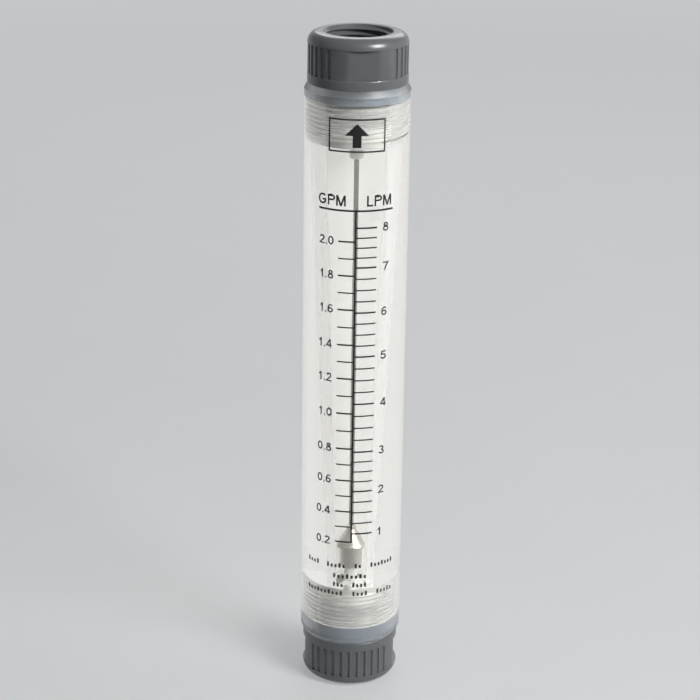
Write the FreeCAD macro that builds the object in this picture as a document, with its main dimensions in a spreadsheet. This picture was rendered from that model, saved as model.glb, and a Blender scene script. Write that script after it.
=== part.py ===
"""Clear in-line rotameter: a variable-area flow meter for water, millimetres, +Z up.

The origin is the middle of the inlet fitting's end face.  The scale faces -Y.
The clear tube has a tapered bore.  A threaded end fitting is screwed into each of its
ends, and each fitting traps a spider that holds the guide rod of the steel float.
"""
import FreeCAD
import Part
import math
import os
from FreeCAD import Placement, Rotation, Vector
import Sketcher

DRIVING_SIZES = (
    # whole meter
    ("overall_length", 216.0),      # end face to end face
    # clear tube
    ("tube_r", 16.5),
    ("tube_chamfer_across", 1.1),
    ("tube_chamfer_along", 2.0),
    ("bore_bottom_r", 4.9),         # the taper, from one shoulder to the other
    ("tap_r", 10.6),                # tapped holes for the fittings, at mid thread
    ("bore_top_step", 0.8),         # from the tapped hole in to the wide end of the taper
    ("tap_depth", 18.5),
    ("neck_seat_depth", 5.0),       # plain counterbores at the mouths
    ("neck_clearance", 0.1),
    # end fittings, both from one mould
    ("fitting_r", 15.6),
    ("fitting_exposed", 15.6),
    ("end_face_width", 1.36),       # flat ring between the port's mouth and the rounded edge
    ("neck_step", 1.6),             # how far the neck stands out past the thread
    ("neck_length", 3.5),
    ("plug_length", 12.0),          # neck and thread together
    ("thread_clearance", 0.05),
    ("plug_chamfer", 0.8),
    ("port_r", 9.316),              # G 1/2 female thread at its minor radius
    ("port_mouth_r", 10.84),
    ("port_depth", 14.6),
    ("plug_wall", 3.35),            # from the thread in to the waterway
    ("collar_height", 3.1),         # plain collar between the grip zone and the tube
    ("flat_sagitta", 0.9),          # depth of a wrench flat at its middle
    ("groove_r", 0.56),
    ("groove_count", 11),           # on each side
    ("groove_pitch", 9.7),          # degrees
    ("outlet_clocking", -83.6),     # degrees, where the flats stand
    ("inlet_clocking", -2.0),
    # rod holders, one spider at each end
    ("holder_clearance", 0.7),      # inside the tapped hole
    ("holder_wall", 1.5),
    ("holder_play", 0.1),           # end play between a fitting and the tube's shoulder
    ("hub_wall", 1.37),
    ("hub_rise", 5.2),              # what stands past the shoulder and stops the float
    ("spoke_width", 1.6),
    ("spoke_count", 3),
    ("socket_depth", 8.0),
    # guide rod and float
    ("rod_r", 0.8),
    ("rod_end_play", 0.1),
    ("rod_socket_clearance", 0.03),
    ("float_running_clearance", 0.08),
    ("float_seat_gap", 0.1),
    ("float_bore_clearance", 0.15), # rim inside the narrow end of the taper
    ("float_rim_height", 0.7),
    ("float_rim_step", 1.05),       # from the rim in to the body
    ("float_body_length", 7.3),
    ("float_cone_height", 4.9),
    ("float_nub_wall", 0.62),
    ("float_nub_height", 1.2),
    # O-rings
    ("o_ring_play", 0.04),
    # printed scale
    ("ink_clearance", 0.04),        # keeps the ink's inner face off the tube's own face
    ("ink_thickness", 0.04),
    ("line_width", 0.75),
    ("tick_height", 0.5),
    ("minor_tick_height", 0.34),
    ("header_line_height", 0.6),
    ("header_gap", 5.4),            # header line above the highest mark
    ("header_half_angle", 42.6),
    ("lpm_tick_angle", 23.3),
    ("gpm_tick_angle", 18.6),
    ("numeral_height", 2.8),
    ("numeral_width", 1.9),
    ("numeral_stroke", 0.4),
    ("numeral_break", 0.06),        # between one stroke of a numeral and the next
    ("numeral_space", 0.3),         # between characters
    ("lpm_numeral_angle", 31.2),    # where the numerals start
    ("gpm_numeral_angle", -42.2),
    ("panel_height", 10.4),
    ("panel_half_angle", 31.2),
    ("panel_line", 0.5),
    ("arrow_head_half_angle", 13.0),
    ("arrow_stem_half_angle", 4.6),
    ("arrow_margin", 1.5),
    ("note_height", 1.1),
    ("note_long_half_angle", 55.0),
    ("note_short_half_angle", 20.0),
)

# Calibration: how far up the bore's taper each whole mark stands, from 0 to 1
LPM_MARKS = (0.148, 0.248, 0.34, 0.45, 0.557, 0.655, 0.754, 0.84)
GPM_MARKS = (0.128, 0.2, 0.273, 0.347, 0.428, 0.507, 0.583, 0.661, 0.736, 0.81)
LPM_PARTS = 4
GPM_PARTS = 2
LPM_NUMERALS = [str(value) for value in range(1, 9)]
GPM_NUMERALS = [f"{value / 5:.1f}" for value in range(1, 11)]
# Strokes of each numeral: a b c clockwise from the top, d at the bottom, e f up the left, g across
STROKES = {"0": "abcdef", "1": "bc", "2": "abdeg", "3": "abcdg", "4": "bcfg", "5": "acdfg",
           "6": "acdefg", "7": "abc", "8": "abcdefg"}
# Lines of the reading note: height above the bore's lower end, in mm, and reach
NOTE_LINES = ((10.2, "long"), (6.5, "short"), (3.4, "short"), (0.3, "long"))


class Size:
    """A length with the spreadsheet expression that gives it."""

    def __init__(self, value, text):
        self.value = value
        self.text = text

    def _join(self, sign, other, value):
        text = other.text if isinstance(other, Size) else repr(other)
        return Size(value, f"({self.text} {sign} {text})")

    def __add__(self, other):
        return self._join("+", other, self.value + number(other))

    def __sub__(self, other):
        return self._join("-", other, self.value - number(other))

    def __mul__(self, other):
        return self._join("*", other, self.value * number(other))

    def __truediv__(self, other):
        return self._join("/", other, self.value / number(other))


def number(size):
    return size.value if isinstance(size, Size) else size


doc = FreeCAD.newDocument("Rotameter")


def make_sheet():
    sheet = doc.addObject("Spreadsheet::Sheet", "Sizes")
    for row, (name, value) in enumerate(DRIVING_SIZES, start=1):
        sheet.set(f"A{row}", name)
        sheet.set(f"B{row}", str(value))
        sheet.setAlias(f"B{row}", name)
    doc.recompute()
    return {name: Size(float(value), f"Sizes.{name}") for name, value in DRIVING_SIZES}


s = make_sheet()
ZERO = Size(0.0, "0")

# Sizes that follow from the driving ones
tube_top = s["overall_length"] - s["fitting_exposed"]
lower_shoulder = s["fitting_exposed"] + s["tap_depth"]
upper_shoulder = s["overall_length"] - lower_shoulder
bore_top_r = s["tap_r"] - s["bore_top_step"]
neck_r = s["tap_r"] + s["neck_step"]
neck_seat_r = neck_r + s["neck_clearance"]
plug_r = s["tap_r"] - s["thread_clearance"]
waterway_r = plug_r - s["plug_wall"]
plug_end = s["fitting_exposed"] + s["plug_length"]
port_mouth_depth = s["port_mouth_r"] - s["port_r"]
shoulder_r = s["fitting_r"] - s["port_mouth_r"] - s["end_face_width"]
grip_length = s["fitting_exposed"] - shoulder_r - s["collar_height"]
holder_r = s["tap_r"] - s["holder_clearance"]
socket_r = s["rod_r"] + s["rod_socket_clearance"]
hub_r = socket_r + s["hub_wall"]
float_hole_r = s["rod_r"] + s["float_running_clearance"]
float_rim_r = s["bore_bottom_r"] - s["float_bore_clearance"]
float_body_r = float_rim_r - s["float_rim_step"]
float_nub_r = float_hole_r + s["float_nub_wall"]
holder_start = plug_end + s["holder_play"] / 2
holder_height = s["tap_depth"] - s["plug_length"] - s["holder_play"]
hub_height = holder_height + s["hub_rise"]
hub_end = holder_start + hub_height
socket_bottom = hub_end - s["socket_depth"]
ink_inner_r = s["tube_r"] + s["ink_clearance"]
ink_outer_r = ink_inner_r + s["ink_thickness"]


def bind(thing, **sizes):
    for name, size in sizes.items():
        thing.setExpression(name.replace("_", "."), size.text)


def new_body(label):
    body = doc.addObject("PartDesign::Body", label)
    body.Label = label
    return body


def new_sketch(body, role, name):
    sketch = body.newObject("Sketcher::SketchObject", name)
    plane = next(part for part in body.Origin.OriginFeatures if part.Role == role)
    sketch.AttachmentSupport = (plane, "")
    sketch.MapMode = "FlatFace"
    return sketch


def pin_point(sketch, edge, end, across, along):
    """Fix one end of an edge at (across, along); 0 puts it on the sketch's own axis."""
    for kind, size, axis in (("DistanceX", across, -2), ("DistanceY", along, -1)):
        if size is ZERO:
            sketch.addConstraint(Sketcher.Constraint("PointOnObject", edge, end, axis))
            continue
        rule = Sketcher.Constraint(kind, -1, 1, edge, end, size.value)
        sketch.setExpression(f"Constraints[{sketch.addConstraint(rule)}]", size.text)


def draw_outline(sketch, corners, rounding=None):
    """Closed outline through the corners.  rounding is (index, radius): the edge that
    leaves that corner is a convex quarter round instead of a line."""
    places = [Vector(number(across), number(along), 0) for across, along in corners]
    count = len(corners)
    for index, start in enumerate(places):
        end = places[(index + 1) % count]
        if rounding and rounding[0] == index:
            centre = Vector(start.x, end.y, 0)
            sketch.addGeometry(Part.ArcOfCircle(Part.Circle(centre, Vector(0, 0, 1), abs(end.x - start.x)),
                                                1.5 * math.pi, 2 * math.pi))
        else:
            sketch.addGeometry(Part.LineSegment(start, end))
    for index, (across, along) in enumerate(corners):
        previous = (index - 1) % count
        sketch.addConstraint(Sketcher.Constraint("Coincident", previous, 2, index, 1))
        pin_point(sketch, index, 1, across, along)
    if rounding:
        rule = Sketcher.Constraint("Radius", rounding[0], number(rounding[1]))
        sketch.setExpression(f"Constraints[{sketch.addConstraint(rule)}]", rounding[1].text)


def revolve(body, corners, rounding=None):
    sketch = new_sketch(body, "XZ_Plane", f"{body.Label}_section")
    draw_outline(sketch, corners, rounding)
    turned = body.newObject("PartDesign::Revolution", f"{body.Label}_turned")
    turned.Profile = sketch
    turned.ReferenceAxis = (sketch, ["V_Axis"])
    turned.Angle = 360
    doc.recompute()
    return turned


def add_circle(sketch, across, radius):
    """Circle with its centre on the sketch's X axis, or at the origin."""
    edge = sketch.addGeometry(Part.Circle(Vector(number(across), 0, 0), Vector(0, 0, 1), number(radius)))
    if across is ZERO:
        sketch.addConstraint(Sketcher.Constraint("Coincident", edge, 3, -1, 1))
    else:
        pin_point(sketch, edge, 3, across, ZERO)
    rule = Sketcher.Constraint("Radius", edge, number(radius))
    sketch.setExpression(f"Constraints[{sketch.addConstraint(rule)}]", radius.text)


def add_feature(body, kind, sketch, length, start=ZERO, upward=True):
    """Pad or Pocket of a flat sketch, from the height start."""
    sketch.setExpression("AttachmentOffset.Base.z", start.text)
    feature = body.newObject(f"PartDesign::{kind}", f"{sketch.Label}_{kind.lower()}")
    feature.Profile = sketch
    bind(feature, Length=length)
    feature.Reversed = upward == (kind == "Pocket")
    doc.recompute()
    return feature


def pattern(body, feature, sketch, count, angle):
    """Repeat a feature about Z: count copies over the angle, or all round."""
    copies = body.newObject("PartDesign::PolarPattern", f"{feature.Label}_pattern")
    copies.Originals = [feature]
    copies.Axis = (sketch, ["N_Axis"])
    copies.setExpression("Occurrences", count.text)
    copies.setExpression("Angle", angle.text)
    body.Tip = copies
    doc.recompute()
    return copies


def check_cut(body, before):
    if body.Shape.Volume >= before - 1e-6:
        raise RuntimeError(f"{body.Label}: a cut removed nothing")


def make_tube():
    body = new_body("meter_tube")
    mouth_r = s["tube_r"] - s["tube_chamfer_across"]
    bottom, top = s["fitting_exposed"], tube_top
    corners = (
        (neck_seat_r, bottom),
        (mouth_r, bottom),
        (s["tube_r"], bottom + s["tube_chamfer_along"]),
        (s["tube_r"], top - s["tube_chamfer_along"]),
        (mouth_r, top),
        (neck_seat_r, top),
        (neck_seat_r, top - s["neck_seat_depth"]),
        (s["tap_r"], top - s["neck_seat_depth"]),
        (s["tap_r"], upper_shoulder),
        (bore_top_r, upper_shoulder),
        (s["bore_bottom_r"], lower_shoulder),
        (s["tap_r"], lower_shoulder),
        (s["tap_r"], bottom + s["neck_seat_depth"]),
        (neck_seat_r, bottom + s["neck_seat_depth"]),
    )
    revolve(body, corners)
    return body


def make_fitting(label, clocking, is_outlet):
    """End fitting with its port face at Z = 0 and its plug upward, before it is placed."""
    body = new_body(label)
    corners = (
        (s["port_mouth_r"], ZERO),
        (s["fitting_r"] - shoulder_r, ZERO),
        (s["fitting_r"], shoulder_r),
        (s["fitting_r"], s["fitting_exposed"]),
        (neck_r, s["fitting_exposed"]),
        (neck_r, s["fitting_exposed"] + s["neck_length"]),
        (plug_r, s["fitting_exposed"] + s["neck_length"]),
        (plug_r, plug_end - s["plug_chamfer"]),
        (plug_r - s["plug_chamfer"], plug_end),
        (waterway_r, plug_end),
        (waterway_r, s["port_depth"]),
        (s["port_r"], s["port_depth"]),
        (s["port_r"], port_mouth_depth),
    )
    turned = revolve(body, corners, rounding=(1, shoulder_r))

    flat = new_sketch(body, "XY_Plane", f"{label}_flat")
    near, far = s["fitting_r"] - s["flat_sagitta"], s["fitting_r"] + s["flat_sagitta"]
    half = s["fitting_r"]
    draw_outline(flat, ((near, half * -1), (far, half * -1), (far, half), (near, half)))
    flats = add_feature(body, "Pocket", flat, grip_length, shoulder_r)
    pattern(body, flats, flat, Size(2, "2"), Size(360, "360"))
    check_cut(body, turned.Shape.Volume)

    volume = body.Shape.Volume
    groove = new_sketch(body, "XY_Plane", f"{label}_groove")
    first_angle = (s["groove_count"] - 1) * s["groove_pitch"] / 2
    groove.setExpression("AttachmentOffset.Rotation.Angle", f"(90 - {first_angle.text})")
    add_circle(groove, s["fitting_r"], s["groove_r"])
    add_circle(groove, s["fitting_r"] * -1, s["groove_r"])
    grooves = add_feature(body, "Pocket", groove, grip_length, shoulder_r)
    pattern(body, grooves, groove, s["groove_count"], (s["groove_count"] - 1) * s["groove_pitch"])
    check_cut(body, volume)

    turn = Rotation(Vector(0, 0, 1), clocking.value)
    if is_outlet:
        turn = turn * Rotation(Vector(1, 0, 0), 180)
        body.setExpression("Placement.Base.z", s["overall_length"].text)
    body.Placement = Placement(body.Placement.Base, turn)
    return body


def make_o_ring(label, is_outlet):
    """Ring in the corner between a fitting's neck and the floor of its seat."""
    ring = doc.addObject("Part::Torus", label)
    section_r = (s["neck_seat_depth"] - s["neck_length"]) / 2 - s["o_ring_play"] / 2
    centre = s["fitting_exposed"] + (s["neck_seat_depth"] + s["neck_length"]) / 2
    bind(ring, Radius1=plug_r + section_r + s["o_ring_play"], Radius2=section_r)
    height = s["overall_length"] - centre if is_outlet else centre
    bind(ring, Placement_Base_z=height)
    ring.Label = label
    return ring


def make_rod_holder(label, is_outlet):
    """Spider: ring, spokes and a hub whose blind socket takes one end of the rod."""
    body = new_body(label)
    ring = new_sketch(body, "XY_Plane", f"{label}_ring")
    add_circle(ring, ZERO, holder_r)
    add_circle(ring, ZERO, holder_r - s["holder_wall"])
    add_feature(body, "Pad", ring, holder_height)

    spoke = new_sketch(body, "XY_Plane", f"{label}_spoke")
    half = s["spoke_width"] / 2
    inner, outer = hub_r / 2, holder_r - s["holder_wall"] / 2
    draw_outline(spoke, ((inner, half * -1), (outer, half * -1), (outer, half), (inner, half)))
    hub = new_sketch(body, "XY_Plane", f"{label}_hub")
    add_circle(hub, ZERO, hub_r)

    arm = add_feature(body, "Pad", spoke, holder_height)
    arms = pattern(body, arm, spoke, s["spoke_count"], Size(360, "360"))
    post = add_feature(body, "Pad", hub, hub_height)
    body.Tip = post

    socket = new_sketch(body, "XY_Plane", f"{label}_socket")
    add_circle(socket, ZERO, socket_r)
    hole = add_feature(body, "Pocket", socket, s["socket_depth"], hub_height, upward=False)
    body.Tip = hole
    doc.recompute()
    check_cut(body, post.Shape.Volume)
    if arms.Shape.Volume <= arm.Shape.Volume:
        raise RuntimeError(f"{label}: the spokes were not repeated")

    if is_outlet:
        body.Placement = Placement(Vector(), Rotation(Vector(1, 0, 0), 180))
        bind(body, Placement_Base_z=s["overall_length"] - holder_start)
    else:
        bind(body, Placement_Base_z=holder_start)
    return body


def make_guide_rod():
    rod = doc.addObject("Part::Cylinder", "guide_rod")
    start = socket_bottom + s["rod_end_play"]
    bind(rod, Radius=s["rod_r"], Height=s["overall_length"] - start * 2)
    bind(rod, Placement_Base_z=start)
    rod.Label = "guide_rod"
    return rod


def make_float():
    body = new_body("float")
    rim = s["float_body_length"]
    cone = rim + s["float_rim_height"]
    nub = cone + s["float_cone_height"]
    corners = (
        (float_hole_r, ZERO),
        (float_body_r, ZERO),
        (float_body_r, rim),
        (float_rim_r, rim),
        (float_rim_r, cone),
        (float_nub_r, nub),
        (float_nub_r, nub + s["float_nub_height"]),
        (float_hole_r, nub + s["float_nub_height"]),
    )
    revolve(body, corners)
    bind(body, Placement_Base_z=hub_end + s["float_seat_gap"])
    return body


def patch(start_angle, end_angle, low, high):
    """Ink patch on the tube.  Angles are degrees from the front, +X side positive."""
    inner, outer = number(ink_inner_r), number(ink_outer_r)
    corners = [Vector(radius, 0, height) for radius, height in
               ((inner, low), (outer, low), (outer, high), (inner, high), (inner, low))]
    face = Part.Face(Part.makePolygon(corners))
    face.rotate(Vector(), Vector(0, 0, 1), start_angle - 90)
    return face.revolve(Vector(), Vector(0, 0, 1), end_angle - start_angle)


def line_angle(width):
    """Degrees that a width covers round the tube."""
    return math.degrees(number(width) / number(s["tube_r"]))


def add_print(label, patches):
    feature = doc.addObject("Part::Feature", label)
    feature.Shape = Part.makeCompound(patches)
    feature.Placement = Placement()
    feature.Label = label
    return feature


def taper_height(share):
    return number(lower_shoulder + (upper_shoulder - lower_shoulder) * share)


def mark_heights(marks, parts):
    """(height, is_whole_mark) for each whole mark and the parts between them."""
    for low, high in zip(marks, marks[1:]):
        yield taper_height(low), True
        for part in range(1, parts):
            yield taper_height(low + (high - low) * part / parts), False
    yield taper_height(marks[-1]), True


def stroke_boxes():
    """(left, right, low, high) in mm of each stroke, from the numeral's lower left corner."""
    width, height = number(s["numeral_width"]), number(s["numeral_height"])
    stroke, gap = number(s["numeral_stroke"]), number(s["numeral_break"])
    left, right = (0, stroke), (width - stroke, width)
    across = (stroke + gap, width - stroke - gap)
    upper, lower = ((height + gap) / 2, height), (0, (height - gap) / 2)
    return {
        "a": across + (height - stroke, height),
        "b": right + upper,
        "c": right + lower,
        "d": across + (0, stroke),
        "e": left + lower,
        "f": left + upper,
        "g": across + ((height - stroke) / 2, (height + stroke) / 2),
    }


def numeral_patches(text, start_angle, middle):
    """Patches of a number that starts at an angle and is centred on a height."""
    stroke, space = number(s["numeral_stroke"]), number(s["numeral_space"])
    low = middle - number(s["numeral_height"]) / 2
    boxes = stroke_boxes()
    across = 0
    for character in text:
        point = character == "."
        shapes = [(0, stroke, 0, stroke)] if point else [boxes[name] for name in STROKES[character]]
        for left, right, bottom, top in shapes:
            yield patch(start_angle + line_angle(across + left), start_angle + line_angle(across + right),
                        low + bottom, low + top)
        across += (stroke if point else number(s["numeral_width"])) + space


def make_scale(label, marks, parts, reach, numerals, numeral_angle):
    """Ticks from the centre line towards one side, reach degrees long, and their numerals."""
    edge = line_angle(s["line_width"]) / 2
    start, end = (edge, reach) if reach > 0 else (reach, -edge)
    ticks = []
    for height, is_whole in mark_heights(marks, parts):
        half = number(s["tick_height"] if is_whole else s["minor_tick_height"]) / 2
        ticks.append(patch(start, end, height - half, height + half))
    for text, mark in zip(numerals, marks):
        ticks.extend(numeral_patches(text, number(numeral_angle), taper_height(mark)))
    return add_print(label, ticks)


def make_scale_axis():
    edge = line_angle(s["line_width"]) / 2
    half = number(s["header_line_height"]) / 2
    reach = number(s["header_half_angle"])
    header = taper_height(max(LPM_MARKS + GPM_MARKS)) + number(s["header_gap"])
    bottom = taper_height(min(LPM_MARKS + GPM_MARKS)) - number(s["tick_height"]) / 2
    return add_print("scale_axis", [patch(-edge, edge, bottom, header - half),
                                    patch(-reach, reach, header - half, header + half)])


def make_flow_panel():
    """Framed arrow that shows the flow direction, just above the bore's upper end."""
    low = number(upper_shoulder)
    high = low + number(s["panel_height"])
    reach, line = number(s["panel_half_angle"]), number(s["panel_line"])
    side = line_angle(line)
    pieces = [
        patch(-reach, reach, low, low + line),
        patch(-reach, reach, high - line, high),
        patch(-reach, -reach + side, low + line, high - line),
        patch(reach - side, reach, low + line, high - line),
    ]
    stem, head = number(s["arrow_stem_half_angle"]), number(s["arrow_head_half_angle"])
    foot, tip = low + number(s["arrow_margin"]), high - number(s["arrow_margin"])
    neck = (foot + tip) / 2
    pieces.append(patch(-stem, stem, foot, neck))
    pieces.append(arrow_head(head, neck, tip))
    return add_print("flow_panel", pieces)


def arrow_head(half_angle, low, high):
    """Triangle on the tube: a flat prism through the ink's own thickness."""
    reach = number(s["tube_r"]) * math.radians(half_angle)
    corners = [Vector(-reach, 0, low), Vector(reach, 0, low), Vector(0, 0, high), Vector(-reach, 0, low)]
    prism = Part.Face(Part.makePolygon(corners)).extrude(Vector(0, -2 * number(s["tube_r"]), 0))
    ring = Part.makeCylinder(number(ink_outer_r), high - low, Vector(0, 0, low))
    ring = ring.cut(Part.makeCylinder(number(ink_inner_r), high - low, Vector(0, 0, low)))
    return prism.common(ring)


def make_reading_note():
    reaches = {"long": number(s["note_long_half_angle"]), "short": number(s["note_short_half_angle"])}
    start = number(lower_shoulder - s["note_height"] / 2)
    return add_print("reading_note", [patch(-reaches[kind], reaches[kind], start + height,
                                            start + height + number(s["note_height"]))
                                      for height, kind in NOTE_LINES])


def make_parts():
    return [
        make_tube(),
        make_fitting("inlet_fitting", s["inlet_clocking"], False),
        make_fitting("outlet_fitting", s["outlet_clocking"], True),
        make_o_ring("inlet_o_ring", False),
        make_o_ring("outlet_o_ring", True),
        make_rod_holder("inlet_rod_holder", False),
        make_rod_holder("outlet_rod_holder", True),
        make_guide_rod(),
        make_float(),
        make_scale_axis(),
        make_scale("lpm_scale", LPM_MARKS, LPM_PARTS, number(s["lpm_tick_angle"]),
                   LPM_NUMERALS, s["lpm_numeral_angle"]),
        make_scale("gpm_scale", GPM_MARKS, GPM_PARTS, -number(s["gpm_tick_angle"]),
                   GPM_NUMERALS, s["gpm_numeral_angle"]),
        make_flow_panel(),
        make_reading_note(),
    ]


def check(parts):
    failed = [thing.Label for thing in doc.Objects if "Invalid" in thing.State or "Error" in thing.State]
    if failed:
        raise RuntimeError(f"failed objects: {failed}")
    for part in parts:
        if part.Shape.isNull() or not part.Shape.isValid():
            raise RuntimeError(f"{part.Label}: no valid shape")


parts = make_parts()
doc.recompute()
check(parts)
os.makedirs("parts", exist_ok=True)
for part in parts:
    part.Shape.exportStep(f"parts/{part.Label}.step")
    print(part.Label, len(part.Shape.Solids), round(part.Shape.Volume, 1))
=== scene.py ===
"""Looks of the clear in-line rotameter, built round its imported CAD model.  Lengths are millimetres.

The meter stands on its inlet fitting, +Z up, with its scale towards -Y.
"""
import math

import bmesh
import bpy
import numpy as np
from mathutils import Matrix, Vector


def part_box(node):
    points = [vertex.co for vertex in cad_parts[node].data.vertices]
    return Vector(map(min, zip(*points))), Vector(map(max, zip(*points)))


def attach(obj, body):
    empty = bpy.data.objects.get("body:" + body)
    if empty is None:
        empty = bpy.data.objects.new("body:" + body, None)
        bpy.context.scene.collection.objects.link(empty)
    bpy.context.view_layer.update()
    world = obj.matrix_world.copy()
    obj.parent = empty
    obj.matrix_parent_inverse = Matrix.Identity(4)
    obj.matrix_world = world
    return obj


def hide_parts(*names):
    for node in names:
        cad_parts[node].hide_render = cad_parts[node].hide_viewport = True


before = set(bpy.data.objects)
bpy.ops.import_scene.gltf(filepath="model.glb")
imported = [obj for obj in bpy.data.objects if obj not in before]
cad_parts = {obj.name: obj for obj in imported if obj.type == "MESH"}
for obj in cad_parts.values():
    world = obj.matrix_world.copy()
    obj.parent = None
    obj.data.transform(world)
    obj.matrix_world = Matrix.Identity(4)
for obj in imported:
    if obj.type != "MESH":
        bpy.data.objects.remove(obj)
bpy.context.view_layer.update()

MM = 0.001
SHARP_EDGE = math.radians(28)
MERGE_M = 2e-7                  # points closer than this become one


def frame_box(node):
    """Lowest and highest corner of a CAD node, in millimetres."""
    low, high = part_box(node)
    return low / MM, high / MM


# ---------------------------------------------------------------- sizes

tube_low, tube_high = frame_box("meter_tube")
rod_low, rod_high = frame_box("guide_rod")
float_low, float_high = frame_box("float")
inlet_high = frame_box("inlet_fitting")[1]
outlet_high = frame_box("outlet_fitting")[1]

# clear tube
TOTAL = outlet_high.z
TUBE_R = (tube_high.x - tube_low.x) / 2
TUBE_BOTTOM = tube_low.z
TUBE_TOP = tube_high.z
TUBE_CHAMFER_ACROSS = 1.1
TUBE_CHAMFER_ALONG = 2.0
SEAT_R = 12.3                   # plain counterbore for a fitting's neck
SEAT_DEPTH = 5.0
TAP_DEPTH = 18.5
TAP_MINOR_R = 10.4              # tapped holes for the plugs
TAP_MAJOR_R = 10.8
TAP_PLAIN_END = 1.0             # without thread, next to the shoulder
PLUG_PITCH = 1.5                # of the plugs and the holes that they screw into
BORE_TOP_R = 9.8
BORE_BOTTOM_R = 4.9
LOWER_SHOULDER = TUBE_BOTTOM + TAP_DEPTH
UPPER_SHOULDER = TUBE_TOP - TAP_DEPTH
TUBE_COLUMNS = 192
TAPER_STEPS = 24

# end fittings
FITTING_R = 15.6
EXPOSED = TUBE_BOTTOM           # length of a fitting outside the tube
SHOULDER_R = 3.4                # rounding of the end
SHOULDER_STEPS = 12
FLAT_DISTANCE = 14.7            # of a wrench flat from the axis
GROOVE_R = 0.72
GROOVE_DEPTH = 0.7
GROOVE_ROUNDNESS = 2.6          # 2 is an ellipse, and more is squarer
GROOVE_COUNT = 11               # on each side
GROOVE_PITCH = math.radians(9.7)
GROOVE_COLUMNS = (0, 0.4, 0.7, 0.88, 0.97, 1, 1.3)      # shares of a groove's half width
GROOVE_HALF_ANGLE = 2 * math.asin(GROOVE_R / (2 * FITTING_R))
FLAT_HALF_ANGLE = math.acos(FLAT_DISTANCE / FITTING_R)
PLAIN_STEP = math.radians(2.6)  # between columns where the fitting is plain
EDGE_BREAK = 0.16               # small bevel on the moulded edges
GRIP_STEP = 0.12                # the grip zone stands back from the shoulder
GRIP_BREAK_START = 0.02         # the bevel over the grooves, from the shoulder
GRIP_BREAK_END = 0.1
COLLAR_START = 12.5
COLLAR_ROUND = 0.5              # rounding of the collar's edge
COLLAR_STEPS = 5
NECK_R = 12.2
NECK_LENGTH = 3.5
PLUG_END = inlet_high.z
PLUG_MAJOR_R = 10.32
PLUG_MINOR_R = 9.8
PLUG_CHAMFER = 0.9
PLUG_PLAIN_START = 0.3          # without thread, next to the neck
PLUG_RUN_OUT = 1.2
WATERWAY_R = 7.2
WATERWAY_CHAMFER = 0.3
PORT_MOUTH_R = 10.84            # G 1/2 female thread
PORT_MINOR_R = 9.4
PORT_MAJOR_R = 10.45
PORT_PITCH = 1.814
PORT_DEPTH = 14.6
PORT_PLAIN_END = 1.2            # without thread, next to the bottom of the port
PORT_RUN_OUT = 1.4
PORT_THREAD_START = 0.25
MOUTH_ROW = 0.1                 # depth of the first row in the port's mouth
INLET_TURN = math.radians(-2.0)
OUTLET_TURN = math.radians(-83.6)

# seals and rod
RING_COLUMNS = 128
RING_STEPS = 35
ROD_COLUMNS = 48
ROD_R = (rod_high.x - rod_low.x) / 2
ROD_BREAK = 0.2
AXIS_R = 0.0001                 # a row this close to the axis merges to one point

# float, from the bottom up
FLOAT_COLUMNS = 96
FLOAT_BODY_R = 3.7
FLOAT_RIM_R = (float_high.x - float_low.x) / 2
FLOAT_NUB_R = 1.5
FLOAT_HOLE_R = 0.88
FLOAT_BODY = 7.3
FLOAT_RIM = 0.7
FLOAT_CONE = 4.9
FLOAT_NUB = 1.2
BODY_BREAK = 0.35
RIM_BREAK = 0.12
CORNER_FILL = 0.1
LOWER_HOLE_BREAK = 0.25
UPPER_HOLE_BREAK = 0.15

# printed scale
INK_R = TUBE_R + 0.04
INK_THICKNESS = 0.04
LINE_WIDTH = 0.56
WHOLE_TICK, PART_TICK = 0.52, 0.42
HEADER_LINE = 0.6
HEADER_GAP = 5.4                # header line above the highest mark
HEADER_REACH = 42.6             # degrees from the front
LPM_REACH, GPM_REACH = 23.3, -18.6
NUMERAL_HEIGHT = 2.8
LPM_WIDTH, GPM_WIDTH = 1.14, 1.04       # shares of the numerals' usual width
LPM_EDGE, GPM_EDGE = 30.2, -24.0        # degrees from the front to the numerals' near edge
UNIT_HEIGHT = 3.4
UNIT_WIDTH = 0.9                # share of the letters' usual width
UNIT_GAP = 1.4                  # from the header line up to the letters
LPM_UNIT_EDGE, GPM_UNIT_EDGE = 40.3, -11.0      # degrees from the front to the right edge
LPM_MARKS = (0.148, 0.248, 0.34, 0.45, 0.557, 0.655, 0.754, 0.84)
GPM_MARKS = (0.128, 0.2, 0.273, 0.347, 0.428, 0.507, 0.583, 0.661, 0.736, 0.81)
LPM_PARTS, GPM_PARTS = 4, 2
BEND_STEP = 0.8                 # longest flat stretch of ink across the tube

# framed arrow; reaches are degrees from the front
PANEL_REACH = 31.2
PANEL_LINE = 0.5
PANEL_MARGIN = 1.5
ARROW_STEM, ARROW_HEAD = 4.6, 13.0

# Lines of the reading note: height over the bore's lower end, reach in degrees, letters in each word
NOTE_LINES = ((10.2, 55, (4, 5, 2, 7)), (6.5, 20, (8,)), (3.4, 20, (3, 4)), (0.3, 55, (10, 4, 5)))
NOTE_HEIGHT = 1.1
NOTE_RISE = 0.45                # how much taller every third block is
NOTE_BLOCK = 0.5                # share of the pitch that a block fills
NOTE_SPACE = 2                  # pitches between words


# ---------------------------------------------------------------- mesh building

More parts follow.
